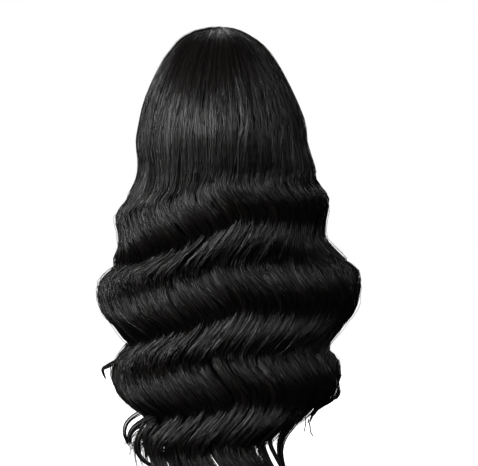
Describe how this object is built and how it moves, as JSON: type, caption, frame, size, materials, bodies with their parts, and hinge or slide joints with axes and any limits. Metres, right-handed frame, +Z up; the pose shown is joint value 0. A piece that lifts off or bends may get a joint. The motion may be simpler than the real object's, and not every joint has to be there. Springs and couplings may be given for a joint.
{
  "type": "lace front wig",
  "caption": "Long body-wave wig on a net cap with a sheer lace front and an elastic nape band, hair parted in the middle and falling behind the shoulders.",
  "frame": {"origin": "inside of the cap at the crown, where the top of the wearer's head carries it", "axes": "+Z up, -Y towards the face side, +X towards the wearer's left"},
  "size_m": [0.2742, 0.204, 0.512],
  "materials": {
    "hair": "satin",
    "cap_net": "matte",
    "lace": "matte",
    "elastic": "matte"
  },
  "bodies": {
    "root": {"wig_cap": "cap_net", "lace_front": "lace", "nape_band": "elastic", "front_hair_right": "hair", "side_hair_right": "hair", "back_hair_right": "hair", "back_hair_centre": "hair", "back_hair_left": "hair", "side_hair_left": "hair", "front_hair_left": "hair", "nape_hair_right": "hair", "nape_hair_centre": "hair", "nape_hair_left": "hair"}
  },
  "joints": []
}
